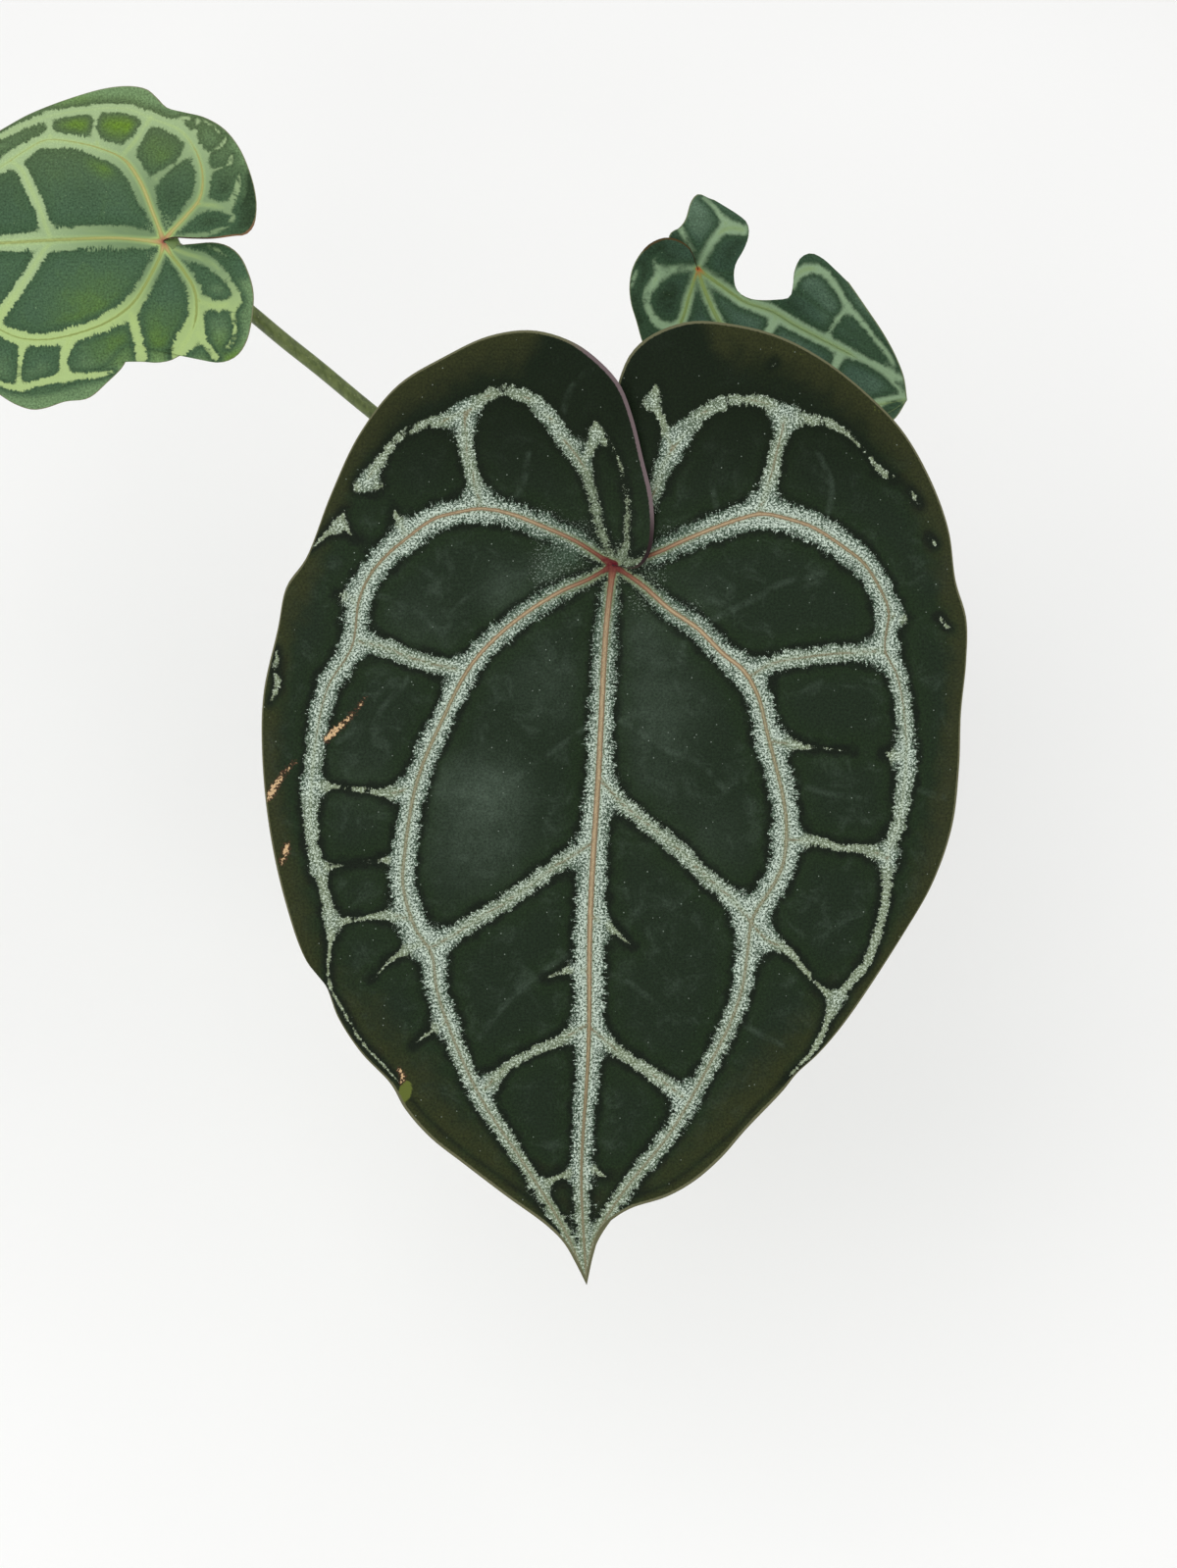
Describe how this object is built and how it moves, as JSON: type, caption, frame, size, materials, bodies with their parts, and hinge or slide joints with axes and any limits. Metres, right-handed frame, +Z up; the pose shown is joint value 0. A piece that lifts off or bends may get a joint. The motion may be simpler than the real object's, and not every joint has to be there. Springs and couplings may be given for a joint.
{
  "type": "potted anthurium hybrid",
  "caption": "Potted velvet-leaved aroid: heart-shaped veined blades on long stalks, a short rooted stem in bark mix, and a plain round pot that stands on its flat underside.",
  "frame": {"origin": "middle of the pot's flat underside", "axes": "+Z up; the blades face up and towards -Y, and +X is to the right seen from that side"},
  "size_m": [0.3556, 0.3397, 0.3442],
  "materials": {
    "pot_plastic": "satin",
    "bark_mix": "matte",
    "stem_skin": "matte",
    "papery_sheath": "matte",
    "stalk_skin": "satin",
    "velvet_blade": "satin",
    "fresh_blade": "satin",
    "back_blade": "satin"
  },
  "bodies": {
    "root": {"pot": "pot_plastic", "bark_mix": "bark_mix", "stem_and_roots": "stem_skin", "sheath_right": "papery_sheath", "sheath_left": "papery_sheath", "sheath_back": "papery_sheath", "stalk_main": "stalk_skin", "stalk_left": "stalk_skin", "stalk_back": "stalk_skin", "blade_main": "velvet_blade", "blade_left": "fresh_blade", "blade_back": "back_blade"}
  },
  "joints": []
}
